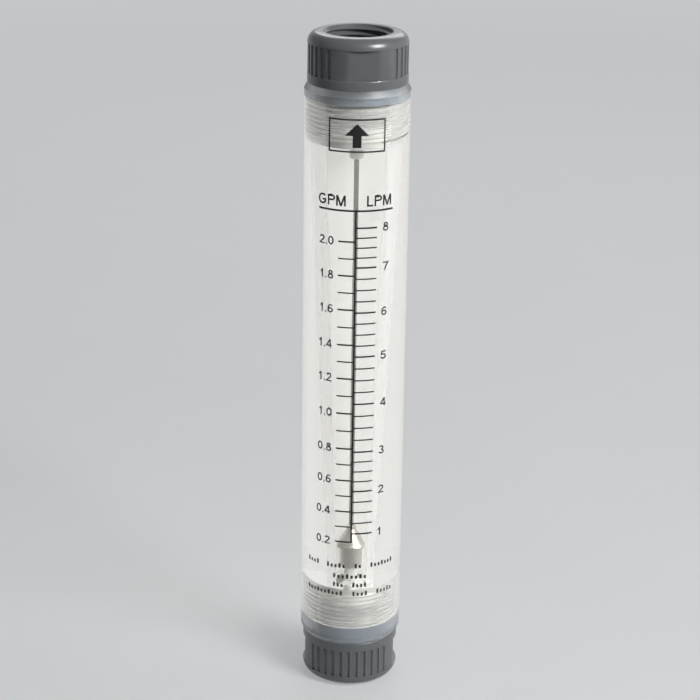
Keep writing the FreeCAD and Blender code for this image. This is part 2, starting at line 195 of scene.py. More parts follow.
def finish_mesh(name, vertices, faces, face_materials):
    """Mesh object from millimetre points, doubled points merged, sharp edges kept sharp."""
    mesh = bpy.data.meshes.new(name)
    mesh.from_pydata([tuple(point) for point in np.asarray(vertices) * MM], [], faces)
    mesh.polygons.foreach_set("material_index", face_materials)
    edit = bmesh.new()
    edit.from_mesh(mesh)
    bmesh.ops.remove_doubles(edit, verts=edit.verts, dist=MERGE_M)
    bmesh.ops.dissolve_degenerate(edit, edges=edit.edges, dist=MERGE_M)
    edit.to_mesh(mesh)
    edit.free()
    mesh.polygons.foreach_set("use_smooth", [True] * len(mesh.polygons))
    mesh.set_sharp_from_angle(angle=SHARP_EDGE)
    mesh.update()
    return link_object(name, mesh)


def link_object(name, mesh):
    thing = bpy.data.objects.new(name, mesh)
    bpy.context.scene.collection.objects.link(thing)
    return thing


class Turning:
    """A closed turned piece: rows of points round the Z axis, in order along its outline.

    Rows go up the outside and down the inside.  A row's radius may change with the angle,
    and a screw thread's rows follow its helix, so they meet a later row after one turn.
    """

    def __init__(self, angles):
        self.angles = np.asarray(angles)
        self.radii, self.heights, self.meets, self.materials = [], [], [], []

    def row(self, radius, height, material=0):
        """One row.  The material is that of the faces from this row to the next one."""
        count = len(self.angles)
        self.meets.append(len(self.radii))
        self.radii.append(np.broadcast_to(radius, count).astype(float))
        self.heights.append(np.broadcast_to(height, count).astype(float))
        self.materials.append(material)

    def thread(self, start, end, pitch, profile, limit, material=0):
        """Right-hand thread from one height to another.  The profile is (share of pitch, radius)."""
        low, high = min(start, end), max(start, end)
        shares = [share for share, _ in profile]
        starts, turn = [], 0
        while not starts or starts[-1] < high:
            starts.extend(low + (turn - 1 + share) * pitch for share in shares)
            turn += 1
        around = (self.angles - self.angles[0]) / (2 * math.pi)
        last = len(starts) - 1
        order = range(last + 1) if end > start else range(last, -1, -1)
        base = len(self.radii)
        for index in order:
            height = np.clip(starts[index] + pitch * around, low, high)
            phase = np.mod((height - low) / pitch - around, 1.0)
            radius = np.interp(phase, shares + [1.0], [r for _, r in profile] + [profile[0][1]])
            self.row(limit(radius, height), height, material)
            met = min(index + len(shares), last)
            self.meets[-1] = base + (met if end > start else last - met)

    def build(self, name):
        radii, heights = np.array(self.radii), np.array(self.heights)
        rows, columns = radii.shape
        points = np.stack((radii * np.cos(self.angles), radii * np.sin(self.angles), heights), axis=-1)
        faces, materials = [], []
        for row in range(rows):
            after = (row + 1) % rows
            for column in range(columns):
                beside = column + 1
                near, far = row, after
                if beside == columns:
                    beside, near, far = 0, self.meets[row], self.meets[after]
                faces.append((row * columns + column, near * columns + beside,
                              far * columns + beside, after * columns + column))
                materials.append(self.materials[row])
        return finish_mesh(name, points.reshape(-1, 3), faces, materials)


def even_angles(count):
    return np.arange(count) * 2 * math.pi / count


def arc_points(centre, radius, start, end, steps):
    """Points of an arc in (radius, height), from one angle to another in degrees."""
    for step in range(steps + 1):
        angle = math.radians(start + (end - start) * step / steps)
        yield centre[0] + radius * math.cos(angle), centre[1] + radius * math.sin(angle)


def lathe(name, outline, count):
    """Turned piece from its outline in (radius, height), up the outside and down the inside."""
    piece = Turning(even_angles(count))
    for radius, height in outline:
        piece.row(radius, height)
    return piece.build(name)


def place(piece, body, slot, nodes, *materials):
    """Gives a piece its body, hides the CAD nodes that it stands for and adds its materials.  The slot is
    not used.
    """
    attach(piece, body)
    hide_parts(*nodes)
    for material in materials:
        piece.data.materials.append(material)
    return piece


# ---------------------------------------------------------------- materials

def srgb(red, green, blue):
    """Linear colour from 8-bit display values."""
    def linear(value):
        value /= 255
        return value / 12.92 if value <= 0.04045 else ((value + 0.055) / 1.055) ** 2.4
    return (linear(red), linear(green), linear(blue), 1.0)


class Finish:
    """A material with one Principled shader and helpers for its procedural detail."""

    def __init__(self, name, **values):
        self.material = bpy.data.materials.new(name)
        self.material.use_nodes = True
        self.tree = self.material.node_tree
        self.tree.nodes.clear()
        self.output = self.add("ShaderNodeOutputMaterial")
        self.shader = self.add("ShaderNodeBsdfPrincipled")
        self.link(self.shader, "BSDF", self.output, "Surface")
        for socket, value in values.items():
            self.shader.inputs[socket.replace("_", " ")].default_value = value

    def add(self, kind, **settings):
        node = self.tree.nodes.new(kind)
        for key, value in settings.items():
            if key in node.inputs:
                node.inputs[key].default_value = value
            else:
                setattr(node, key, value)
        return node

    def link(self, source, output, target, socket):
        self.tree.links.new(source.outputs[output], target.inputs[socket])

    def noise(self, size_mm, detail=3.0, stretch=(1.0, 1.0, 1.0)):
        """Noise on object coordinates whose grains are about the given size."""
        coordinates = self.add("ShaderNodeTexCoord")
        mapping = self.add("ShaderNodeMapping")
        mapping.inputs["Scale"].default_value = stretch
        self.link(coordinates, "Object", mapping, "Vector")
        noise = self.add("ShaderNodeTexNoise", Scale=1 / (size_mm * MM), Detail=detail)
        self.link(mapping, "Vector", noise, "Vector")
        return noise

    def colour(self, texture, *stops):
        """Base colour that follows a texture; stops are (position, colour)."""
        ramp = self.add("ShaderNodeValToRGB")
        for element, (position, colour) in zip(ramp.color_ramp.elements, stops):
            element.position = position
            element.color = colour
        self.link(texture, "Fac", ramp, "Fac")
        self.link(ramp, "Color", self.shader, "Base Color")

    def roughness(self, texture, low, high):
        """Roughness that follows a texture between two values."""
        spread = self.add("ShaderNodeMapRange")
        spread.inputs["To Min"].default_value = low
        spread.inputs["To Max"].default_value = high
        self.link(texture, "Fac", spread, "Value")
        self.link(spread, "Result", self.shader, "Roughness")

    def bump(self, texture, height_mm):
        bump = self.add("ShaderNodeBump", Distance=height_mm * MM, Strength=1.0)
        self.link(texture, "Fac", bump, "Height")
        self.link(bump, "Normal", self.shader, "Normal")

    def let_lamps_through(self):
        """Shadow rays pass clear acrylic, so that the lamps reach what is inside it."""
        paths = self.add("ShaderNodeLightPath")
        clear = self.add("ShaderNodeBsdfTransparent", Color=(0.88, 0.88, 0.87, 1))
        mixed = blend(self.tree, paths.outputs["Is Shadow Ray"], self.shader.outputs["BSDF"],
                      clear.outputs["BSDF"])
        self.tree.links.new(mixed, self.output.inputs["Surface"])


def blend(tree, share, first, second):
    """Shader that goes from the first to the second as the share goes from 0 to 1."""
    mix = tree.nodes.new("ShaderNodeMixShader")
    for socket, source in zip(mix.inputs, (share, first, second)):
        tree.links.new(source, socket)
    return mix.outputs[0]


def acrylic(name, clearness, roughness, waviness_mm, size_mm, stretch, tint=(0.985, 0.985, 0.975, 1)):
    """Clear acrylic.  A clearness under 1 leaves a haze in the tint's colour: a pale tint gives the white
    haze that a cutting tool leaves, and a dark tint gives painted shade.
    """
    finish = Finish(name, Transmission_Weight=clearness, IOR=1.49, Base_Color=tint)
    noise = finish.noise(size_mm, 2.0, stretch)
    finish.roughness(noise, roughness * 0.8, roughness * 1.2)
    finish.bump(noise, waviness_mm)
    finish.let_lamps_through()
    return finish.material


def grey_pvc():
    finish = Finish("grey_pvc", IOR=1.53, Specular_IOR_Level=0.5)
    cloud = finish.noise(7.0, 4.0)
    finish.colour(cloud, (0.3, (0.098, 0.106, 0.111, 1)), (0.7, (0.116, 0.125, 0.13, 1)))
    grain = finish.noise(0.35, 4.0)
    finish.roughness(grain, 0.2, 0.3)
    finish.bump(grain, 0.006)
    return finish.material


def rubber():
    finish = Finish("seal_rubber", IOR=1.5)
    grain = finish.noise(0.25, 3.0)
    finish.colour(grain, (0.3, srgb(104, 112, 120)), (0.7, srgb(122, 131, 140)))
    finish.roughness(grain, 0.45, 0.6)
    finish.bump(grain, 0.008)
    return finish.material


def acetal():
    finish = Finish("white_acetal", IOR=1.48)
    grain = finish.noise(0.9, 3.0)
    finish.colour(grain, (0.25, srgb(188, 188, 184)), (0.75, srgb(202, 202, 198)))
    finish.roughness(grain, 0.38, 0.5)
    finish.bump(grain, 0.01)
    return finish.material


def steel(name, dark, light, low, high, ring_mm, stretch):
    """Turned or ground steel: fine marks round the axis, roughness between low and high."""
    finish = Finish(name, Metallic=1.0)
    marks = finish.noise(ring_mm, 2.0, stretch)
    finish.colour(marks, (0.3, dark), (0.7, light))
    finish.roughness(marks, low, high)
    finish.bump(marks, 0.004)
    return finish.material


def ink():
    finish = Finish("black_ink", IOR=1.45)
    grain = finish.noise(0.3, 3.0)
    finish.colour(grain, (0.25, srgb(22, 22, 23)), (0.8, srgb(44, 44, 45)))
    finish.roughness(grain, 0.45, 0.6)
    return finish.material


polished_acrylic = acrylic("clear_acrylic", clearness=0.965, roughness=0.012, waviness_mm=0.004,
                           size_mm=6.0, stretch=(1.0, 1.0, 0.12), tint=(0.985, 0.98, 0.955, 1))
turned_acrylic = acrylic("turned_acrylic", clearness=0.95, roughness=0.42, waviness_mm=0.001,
                         size_mm=1.5, stretch=(1.0, 1.0, 8.0))
bored_acrylic = acrylic("bored_acrylic", clearness=0.985, roughness=0.12, waviness_mm=0.001,
                        size_mm=1.5, stretch=(1.0, 1.0, 8.0))
tapped_acrylic = acrylic("tapped_acrylic", clearness=0.62, roughness=0.3, waviness_mm=0.001,
                         size_mm=1.5, stretch=(1.0, 1.0, 8.0), tint=(0.7, 0.7, 0.68, 1))
# Painted shade: a dark blue-grey tint with little clearness makes the seat band dark, in place of the
# shade in the joint round the fitting's neck.
shaded_seat_acrylic = acrylic("shaded_seat_acrylic", clearness=0.3, roughness=0.35, waviness_mm=0.004,
                       size_mm=1.5, stretch=(1.0, 1.0, 6.0), tint=(0.235, 0.27, 0.31, 1))
reamed_acrylic = acrylic("reamed_acrylic", clearness=0.84, roughness=0.06, waviness_mm=0.003,
                         size_mm=2.0, stretch=(1.0, 1.0, 10.0))
pvc = grey_pvc()
seal_rubber = rubber()
white_acetal = acetal()
ground_steel = steel("ground_steel", srgb(124, 116, 104), srgb(150, 142, 130), low=0.18, high=0.28,
                     ring_mm=0.5, stretch=(1, 1, 3))
turned_steel = steel("turned_steel", srgb(184, 177, 166), srgb(202, 195, 185), low=0.25, high=0.33,
                     ring_mm=0.25, stretch=(0.4, 0.4, 4))
black_ink = ink()


# ---------------------------------------------------------------- the clear tube

CREST, FLANK, ROOT = 0.125, 0.3125, 0.25        # shares of a 60 degree thread's pitch


def thread_profile(crest_r, root_r):
    """One pitch of a thread, from the start of its crest."""
    return ((0.0, crest_r), (CREST, crest_r), (CREST + FLANK, root_r), (CREST + FLANK + ROOT, root_r))


def make_tube():
    tube = Turning(even_angles(TUBE_COLUMNS))
    mouth_r = TUBE_R - TUBE_CHAMFER_ACROSS
    polished, turned, tapped, seat, reamed, bored = range(6)
    profile = thread_profile(TAP_MINOR_R, TAP_MAJOR_R)

    def tap_limit(radius, height):
        """The thread runs out over its last turn, before the shoulder."""
        from_shoulder = np.abs(np.minimum(height - LOWER_SHOULDER, UPPER_SHOULDER - height))
        run_out = np.clip((from_shoulder - TAP_PLAIN_END) / PLUG_PITCH, 0, 1)
        return TAP_MINOR_R + (radius - TAP_MINOR_R) * run_out

    tube.row(mouth_r, TUBE_BOTTOM, turned)
    tube.row(TUBE_R, TUBE_BOTTOM + TUBE_CHAMFER_ALONG, polished)
    tube.row(TUBE_R, TUBE_TOP - TUBE_CHAMFER_ALONG, turned)
    tube.row(mouth_r, TUBE_TOP, turned)
    tube.row(SEAT_R, TUBE_TOP, seat)
    tube.row(SEAT_R, TUBE_TOP - SEAT_DEPTH, tapped)
    tube.thread(TUBE_TOP - SEAT_DEPTH, UPPER_SHOULDER, PLUG_PITCH, profile, tap_limit, tapped)
    tube.row(BORE_TOP_R, UPPER_SHOULDER, reamed)
    for step in range(1, TAPER_STEPS):
        share = step / TAPER_STEPS
        tube.row(BORE_TOP_R + (BORE_BOTTOM_R - BORE_TOP_R) * share,
                 UPPER_SHOULDER + (LOWER_SHOULDER - UPPER_SHOULDER) * share, reamed)
    tube.row(BORE_BOTTOM_R, LOWER_SHOULDER, bored)
    tube.thread(LOWER_SHOULDER, TUBE_BOTTOM + SEAT_DEPTH, PLUG_PITCH, profile, tap_limit, tapped)
    tube.row(SEAT_R, TUBE_BOTTOM + SEAT_DEPTH, seat)
    tube.row(SEAT_R, TUBE_BOTTOM, turned)
    return place(tube.build("clear_tube"), "meter", "clear_acrylic", ["meter_tube"],
                 polished_acrylic, turned_acrylic, tapped_acrylic, shaded_seat_acrylic, reamed_acrylic,
                 bored_acrylic)


# ---------------------------------------------------------------- end fittings

def groove_cut(share):
    """Depth of a groove at a share of its half width: a round scallop."""
    return GROOVE_DEPTH * np.sqrt(np.clip(1 - np.abs(share) ** GROOVE_ROUNDNESS, 0, 1))


def groove_angles():
    """Middle of each groove, from the middle of the first flat."""
    first = math.pi / 2 - GROOVE_PITCH * (GROOVE_COUNT - 1) / 2
    for side in (0, math.pi):
        for index in range(GROOVE_COUNT):
            yield side + first + index * GROOVE_PITCH


def fitting_angles():
    """Columns round a fitting: even ones, with extra ones at each groove and flat edge."""
    marks = set()
    for side in (-1, 1):
        for middle in groove_angles():
            for share in GROOVE_COLUMNS:
                marks.add(middle + side * share * GROOVE_HALF_ANGLE)
        for middle in (0, math.pi, 2 * math.pi):
            marks.add(middle + side * FLAT_HALF_ANGLE)
    marks = sorted(mark for mark in marks if 0 < mark < 2 * math.pi)
    columns = [0.0]
    for mark in marks + [2 * math.pi]:
        begin = columns[-1]
        gap = mark - begin
        parts = max(1, round(gap / PLAIN_STEP))
        columns.extend(begin + gap * part / parts for part in range(1, parts + 1))
    return np.array(columns[:-1])


def grip_radius(angles):
    """Radius of the grip zone: two wrench flats and the scalloped grooves between them."""
    radius = np.full(len(angles), FITTING_R)
    for middle in (0, math.pi, 2 * math.pi):
        away = angles - middle
        near = np.abs(away) <= FLAT_HALF_ANGLE + 1e-9
        radius[near] = FLAT_DISTANCE / np.cos(away[near])
    for middle in groove_angles():
        away = angles - middle
        near = np.abs(away) < GROOVE_HALF_ANGLE
        cut = FITTING_R - groove_cut(away[near] / GROOVE_HALF_ANGLE)
        radius[near] = np.minimum(radius[near], cut)
    return radius


def make_fitting(name, node, turn, is_outlet):
    """End fitting: built as the inlet, then turned, and stood on its head for the outlet."""
    angles = fitting_angles()
    piece = Turning(angles)
    grip = np.minimum(grip_radius(angles), FITTING_R - GRIP_STEP)
    bevelled = np.maximum(grip, FITTING_R - EDGE_BREAK)
    neck_end = EXPOSED + NECK_LENGTH
    shoulder = (FITTING_R - SHOULDER_R, SHOULDER_R)
    collar = (FITTING_R - COLLAR_ROUND, COLLAR_START + COLLAR_ROUND)

    def plug_limit(radius, height):
        """Runs out at the neck and behind the chamfer at the plug's end."""
        chamfer = PLUG_MAJOR_R - PLUG_CHAMFER + (PLUG_END - height)
        run_out = np.clip((height - neck_end - PLUG_PLAIN_START) / PLUG_RUN_OUT, 0, 1)
        return np.minimum(PLUG_MINOR_R + (radius - PLUG_MINOR_R) * run_out, chamfer)

    def port_limit(radius, height):
        """Opens to the mouth's chamfer and runs out at the bottom of the port."""
        run_out = np.clip((PORT_DEPTH - PORT_PLAIN_END - height) / PORT_RUN_OUT, 0, 1)
        return np.maximum(PORT_MINOR_R + (radius - PORT_MINOR_R) * run_out, PORT_MOUTH_R - height)

    # outside, from the end face to the collar
    piece.row(PORT_MOUTH_R, 0)
    for radius, height in arc_points(shoulder, SHOULDER_R, -90, 0, SHOULDER_STEPS):
        piece.row(radius, height)
    piece.row(bevelled, SHOULDER_R + GRIP_BREAK_START)
    piece.row(grip, SHOULDER_R + GRIP_BREAK_END)
    piece.row(grip, COLLAR_START)
    for radius, height in arc_points(collar, COLLAR_ROUND, -90, 0, COLLAR_STEPS):
        piece.row(np.maximum(radius, grip), height)
    piece.row(FITTING_R, EXPOSED - EDGE_BREAK)
    piece.row(FITTING_R - EDGE_BREAK, EXPOSED)

    # neck and plug thread
    piece.row(NECK_R, EXPOSED)
    piece.row(NECK_R, neck_end)
    piece.row(PLUG_MINOR_R, neck_end)
    piece.thread(neck_end, PLUG_END, PLUG_PITCH, thread_profile(PLUG_MAJOR_R, PLUG_MINOR_R), plug_limit)

    # waterway and port thread
    piece.row(WATERWAY_R + WATERWAY_CHAMFER, PLUG_END)
    piece.row(WATERWAY_R, PLUG_END - WATERWAY_CHAMFER)
    piece.row(WATERWAY_R, PORT_DEPTH)
    piece.row(PORT_MINOR_R, PORT_DEPTH)
    piece.thread(PORT_DEPTH, PORT_THREAD_START, PORT_PITCH, thread_profile(PORT_MINOR_R, PORT_MAJOR_R),
                 port_limit)
    piece.row(PORT_MOUTH_R - MOUTH_ROW, MOUTH_ROW)

    thing = piece.build(name)
    turned = Matrix.Rotation(turn, 4, "Z")
    if is_outlet:
        turned = turned @ Matrix.Rotation(math.pi, 4, "X")
        turned = Matrix.Translation((0, 0, TOTAL * MM)) @ turned
    thing.data.transform(turned)
    return place(thing, "meter", "grey_plastic", [node], pvc)


# ---------------------------------------------------------------- seals, rod holders, rod

def make_o_ring(name, node):
    """Ring of round section."""
    low, high = frame_box(node)
    section = (high.z - low.z) / 2
    middle = ((high.x - low.x) / 2 - section, (low.z + high.z) / 2)
    outline = arc_points(middle, section, 0, 360 * (1 - 1 / (RING_STEPS + 1)), RING_STEPS)
    return place(lathe(name, outline, RING_COLUMNS), "meter", "seal_rubber", [node], seal_rubber)


def dress_node(node, material):
    """Keeps a CAD solid and gives it its finish."""
    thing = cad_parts[node]
    thing.data.materials.clear()
    thing.data.materials.append(material)
    return thing


def make_rod():
    """Ground rod with its ends broken."""
    low, high = rod_low.z, rod_high.z
    outline = ((AXIS_R, low), (ROD_R - ROD_BREAK, low), (ROD_R, low + ROD_BREAK),
               (ROD_R, high - ROD_BREAK), (ROD_R - ROD_BREAK, high), (AXIS_R, high))
    return place(lathe("steel_guide_rod", outline, ROD_COLUMNS), "meter", "rod_steel", ["guide_rod"],
                 ground_steel)


# ---------------------------------------------------------------- float

def make_float():
    """Turned float: straight body, thin sharp-edged rim, cone and nub, bored for the rod."""
    base = float_low.z
    rim_low = base + FLOAT_BODY
    rim_high = rim_low + FLOAT_RIM
    cone_top = rim_high + FLOAT_CONE
    top = cone_top + FLOAT_NUB
    outline = (
        (FLOAT_HOLE_R + LOWER_HOLE_BREAK, base),
        (FLOAT_BODY_R - BODY_BREAK, base),
        (FLOAT_BODY_R, base + BODY_BREAK),
        (FLOAT_BODY_R, rim_low - CORNER_FILL),
        (FLOAT_BODY_R + CORNER_FILL, rim_low),
        (FLOAT_RIM_R - RIM_BREAK, rim_low),
        (FLOAT_RIM_R, rim_low + RIM_BREAK),
        (FLOAT_RIM_R, rim_high - RIM_BREAK),
        (FLOAT_RIM_R - RIM_BREAK, rim_high),
        (FLOAT_NUB_R + CORNER_FILL, cone_top - RIM_BREAK),
        (FLOAT_NUB_R, cone_top),
        (FLOAT_NUB_R, top - RIM_BREAK),
        (FLOAT_NUB_R - RIM_BREAK, top),
        (FLOAT_HOLE_R + UPPER_HOLE_BREAK, top),
        (FLOAT_HOLE_R, top - UPPER_HOLE_BREAK),
        (FLOAT_HOLE_R, base + LOWER_HOLE_BREAK),
    )
    return place(lathe("steel_float", outline, FLOAT_COLUMNS), "float", "float_steel", ["float"],
                 turned_steel)


# ---------------------------------------------------------------- printed scale

def arc(degrees):
    """Arc length on the tube of an angle from the front, +X side positive."""
    return TUBE_R * math.radians(degrees)


def taper_height(share):
    """Height at a share of the tapered bore's length."""
    return LOWER_SHOULDER + (UPPER_SHOULDER - LOWER_SHOULDER) * share


def bow(across, height, wide, tall, start, end):
    """Points along part of an ellipse, from one angle to another in degrees."""
    steps = max(4, round(abs(end - start) / 15))
    angles = np.radians(np.linspace(start, end, steps + 1))
    return [(across + wide * math.cos(angle), height + tall * math.sin(angle)) for angle in angles]


STROKE = 0.16                   # width of a character's line; characters are 1 high
EDGE = STROKE / 2
HIGH = 1 - EDGE

# Each character: its advance, then the middle lines of its strokes
CHARACTERS = {
    "0": (0.777, bow(0.38, 0.5, 0.25, 0.5 - EDGE, 0, 360)),
    "1": (0.777, [(0.46, 0), (0.46, 1)], [(0.46, 0.88), (0.22, 0.68)]),
    "2": (0.777, bow(0.38, 0.7, 0.24, 0.3 - EDGE, 170, -38) + [(0.11, EDGE), (0.7, EDGE)]),
    "3": (0.777, bow(0.37, 0.745, 0.2, 0.255 - EDGE, 160, -90),
          bow(0.37, 0.275, 0.25, 0.275 - EDGE, 90, -165)),
    "4": (0.777, [(0.53, 0), (0.53, 0.97)], [(0.5, 0.95), (0.09, 0.27)], [(0.05, 0.27), (0.72, 0.27)]),
    "5": (0.777, [(0.65, HIGH), (0.22, HIGH), (0.15, 0.5)],
          bow(0.37, 0.33, 0.26, 0.33 - EDGE, 140, -165)),
    "6": (0.777, bow(0.38, 0.32, 0.24, 0.32 - EDGE, 0, 360),
          bow(0.42, 0.48, 0.28, 0.52 - EDGE, 50, 190)),
    "7": (0.777, [(0.08, HIGH), (0.67, HIGH), (0.42, 0.5), (0.3, 0)]),
    "8": (0.777, bow(0.38, 0.755, 0.185, 0.245 - EDGE, 0, 360),
          bow(0.38, 0.295, 0.25, 0.295 - EDGE, 0, 360)),
    ".": (0.32, [(0.16, 0), (0.16, STROKE)]),
    "G": (1.086, bow(0.53, 0.5, 0.42, 0.5 - EDGE, 42, 322) + [(0.9, 0.45)],
          [(0.56, 0.45), (0.96, 0.45)]),
    "L": (0.777, [(0.17, 1), (0.17, EDGE), (0.73, EDGE)]),
    "M": (1.163, [(0.17, 0), (0.17, 1)], [(0.99, 0), (0.99, 1)],
          [(0.21, 0.96), (0.58, 0)], [(0.95, 0.96), (0.58, 0)]),
    "P": (0.93, [(0.17, 0), (0.17, 1)],
          [(0.17, HIGH), (0.55, HIGH)] + bow(0.55, 0.72, 0.26, 0.28 - EDGE, 90, -90)
          + [(0.17, 0.44 + EDGE)]),
}


class Print:
    """Flat artwork in (arc length, height), wrapped round the tube as a thin layer of ink."""

    def __init__(self):
        self.flat = bmesh.new()

    def outline(self, points):
        self.flat.faces.new([self.flat.verts.new((across, height, 0)) for across, height in points])

    def box(self, left, right, low, high):
        self.outline(((left, low), (right, low), (right, high), (left, high)))

    def stroke(self, points, width):
        """Line of even width through the points, with mitred corners."""
        points = [Vector(point) for point in points]
        ways = [(after - before).normalized() for before, after in zip(points, points[1:])]
        closed = (points[0] - points[-1]).length < 1e-6
        pairs = []
        for index, point in enumerate(points):
            before = ways[index - 1] if index or closed else ways[0]
            after = ways[index] if index < len(ways) else ways[0 if closed else -1]
            along = (before + after).normalized()
            reach = width / 2 / max(along.dot(after), 0.5)
            side = Vector((-along.y, along.x)) * reach
            pairs.append([self.flat.verts.new((*corner, 0)) for corner in (point + side, point - side)])
        for (left, right), (next_left, next_right) in zip(pairs, pairs[1:]):
            self.flat.faces.new((left, right, next_right, next_left))

    def text(self, words, edge, low, height, width_share, align):
        """Words of plain block characters whose left or right edge is at the given place."""
        scale = height * width_share
        start = 0.0
        strokes = []
        for character in words:
            advance, *lines = CHARACTERS[character]
            for line in lines:
                strokes.append([((start + x) * scale, low + y * height) for x, y in line])
            start += advance
        reach = [x for line in strokes for x, _ in line]
        half = STROKE * height / 2
        shift = edge - min(reach) + half if align == "LEFT" else edge - max(reach) - half
        for line in strokes:
            self.stroke([(x + shift, y) for x, y in line], STROKE * height)

    def build(self, name, node):
        flat = self.flat
        bmesh.ops.remove_doubles(flat, verts=flat.verts, dist=1e-5)
        reach = int(max(abs(vertex.co.x) for vertex in flat.verts) / BEND_STEP)
        for step in range(-reach, reach + 1):
            everything = flat.verts[:] + flat.edges[:] + flat.faces[:]
            bmesh.ops.bisect_plane(flat, geom=everything, plane_co=(step * BEND_STEP, 0, 0),
                                   plane_no=(1, 0, 0))
        raised = bmesh.ops.extrude_face_region(flat, geom=flat.faces[:])["geom"]
        outer = [item for item in raised if isinstance(item, bmesh.types.BMVert)]
        bmesh.ops.translate(flat, verts=outer, vec=(0, 0, INK_THICKNESS))
        bmesh.ops.recalc_face_normals(flat, faces=flat.faces)
        for vertex in flat.verts:
            angle = vertex.co.x / TUBE_R
            radius = INK_R + vertex.co.z
            vertex.co = Vector((radius * math.sin(angle), -radius * math.cos(angle), vertex.co.y)) * MM
        mesh = bpy.data.meshes.new(name)
        flat.to_mesh(mesh)
        flat.free()
        return place(link_object(name, mesh), "meter", "black_ink", [node], black_ink)


def print_scale(name, node, marks, parts, reach, numerals, across, width_share, align):
    """Ticks from the centre line to one side, and a number at each whole mark."""
    art = Print()
    edge = math.copysign(LINE_WIDTH / 2, reach)
    near, far = sorted((edge, arc(reach)))
    shares = [(low + (high - low) * part / parts, part == 0)
              for low, high in zip(marks, marks[1:]) for part in range(parts)]
    for share, is_whole in shares + [(marks[-1], True)]:
        half = (WHOLE_TICK if is_whole else PART_TICK) / 2
        art.box(near, far, taper_height(share) - half, taper_height(share) + half)
    for numeral, mark in zip(numerals, marks):
        low = taper_height(mark) - NUMERAL_HEIGHT / 2
        art.text(numeral, across, low, NUMERAL_HEIGHT, width_share, align)
    return art.build(name, node)


def print_axis():
    """Centre line, header line and the two units over it."""
    art = Print()
    header = taper_height(max(LPM_MARKS + GPM_MARKS)) + HEADER_GAP
    bottom = taper_height(min(LPM_MARKS + GPM_MARKS)) - WHOLE_TICK / 2
    art.box(-LINE_WIDTH / 2, LINE_WIDTH / 2, bottom, header - HEADER_LINE / 2)
    art.box(-arc(HEADER_REACH), arc(HEADER_REACH), header - HEADER_LINE / 2, header + HEADER_LINE / 2)
    art.text("GPM", arc(GPM_UNIT_EDGE), header + UNIT_GAP, UNIT_HEIGHT, UNIT_WIDTH, "RIGHT")
    art.text("LPM", arc(LPM_UNIT_EDGE), header + UNIT_GAP, UNIT_HEIGHT, UNIT_WIDTH, "RIGHT")
    return art.build("printed_axis", "scale_axis")


def print_flow_panel():
    """Framed arrow that shows which way the water flows."""
    low, high = frame_box("flow_panel")
    bottom, top = low.z, high.z
    middle = (bottom + top) / 2
    reach, line = arc(PANEL_REACH), PANEL_LINE
    stem, head = arc(ARROW_STEM), arc(ARROW_HEAD)
    tail, tip = bottom + PANEL_MARGIN, top - PANEL_MARGIN
    art = Print()
    art.box(-reach, reach, bottom, bottom + line)
    art.box(-reach, reach, top - line, top)
    art.box(-reach, -reach + line, bottom + line, top - line)
    art.box(reach - line, reach, bottom + line, top - line)
    art.outline(((-stem, tail), (stem, tail), (stem, middle), (head, middle),
                 (0, tip), (-head, middle), (-stem, middle)))
    return art.build("printed_flow_panel", "flow_panel")


def print_reading_note():
    """Blocks that stand for words: plain marks, one to a letter."""
    art = Print()
    for height, reach, words in NOTE_LINES:
        low = LOWER_SHOULDER + height - NOTE_HEIGHT / 2
        pitch = 2 * arc(reach) / (sum(words) + NOTE_SPACE * (len(words) - 1))
        left = -arc(reach)
        for letters in words:
            for letter in range(letters):
                rise = NOTE_RISE if letter % 3 == 0 else 0.0
                art.box(left, left + pitch * NOTE_BLOCK, low, low + NOTE_HEIGHT + rise)
                left += pitch
            left += NOTE_SPACE * pitch
    return art.build("printed_note", "reading_note")


make_tube()
make_fitting("inlet_end_fitting", "inlet_fitting", INLET_TURN, False)
make_fitting("outlet_end_fitting", "outlet_fitting", OUTLET_TURN, True)
make_o_ring("inlet_seal", "inlet_o_ring")
make_o_ring("outlet_seal", "outlet_o_ring")
dress_node("inlet_rod_holder", white_acetal)
dress_node("outlet_rod_holder", white_acetal)
make_rod()
make_float()
print_axis()
print_scale("printed_lpm_scale", "lpm_scale", LPM_MARKS, LPM_PARTS, LPM_REACH,
            [str(value) for value in range(1, 9)], arc(LPM_EDGE), LPM_WIDTH, "LEFT")
print_scale("printed_gpm_scale", "gpm_scale", GPM_MARKS, GPM_PARTS, GPM_REACH,
            [f"{value / 5:.1f}" for value in range(1, 11)], arc(GPM_EDGE), GPM_WIDTH, "RIGHT")
print_flow_panel()
print_reading_note()


# ---------------------------------------------------------------- floor, lights and camera

FLOOR_SIZE_M = 12
FLOOR_DROP_M = 0.0002           # the meter stands this far over the floor
FLOOR_TONE = (0.60, 0.61, 0.62, 1)
STEADY_SHARE = 0.55             # of the floor's tone beside the meter; all of it far away
STEADY_FROM_M, STEADY_TO_M = 0.25, 1.6
HIGH_TONE = (0.22, 0.22, 0.23, 1)       # of the studio overhead
HORIZON, OVERHEAD = 0.12, 0.6           # heights of the two tones, as the upward part of a direction
WORLD_LIGHT = 0.14
PAINTED_REFLECTION_DARK = (0.08, 0.08, 0.08, 1)       # painted dark tone that reflected rays see towards the front
GLASS_TONE = (0.80, 0.80, 0.79, 1)      # what clear acrylic shows behind it
WALL_DEPTH, WALL_DEPTH_SPAN = 2.0, 1.2  # surfaces that a ray reflected inside the tube's wall has crossed
FLOOR_LEAN, FLOOR_DARK = 0.25, (0.02, 0.08)
WORLD_LEAN, WORLD_DARK = 0.7, (0.35, 0.75)


def calculate(tree, operation, *values):
    """Output of a math node over sockets and plain numbers."""
    node = tree.nodes.new("ShaderNodeMath")
    node.operation = operation
    for socket, value in zip(node.inputs, values):
        if isinstance(value, bpy.types.NodeSocket):
            tree.links.new(value, socket)
        else:
            socket.default_value = value
    return node.outputs[0]


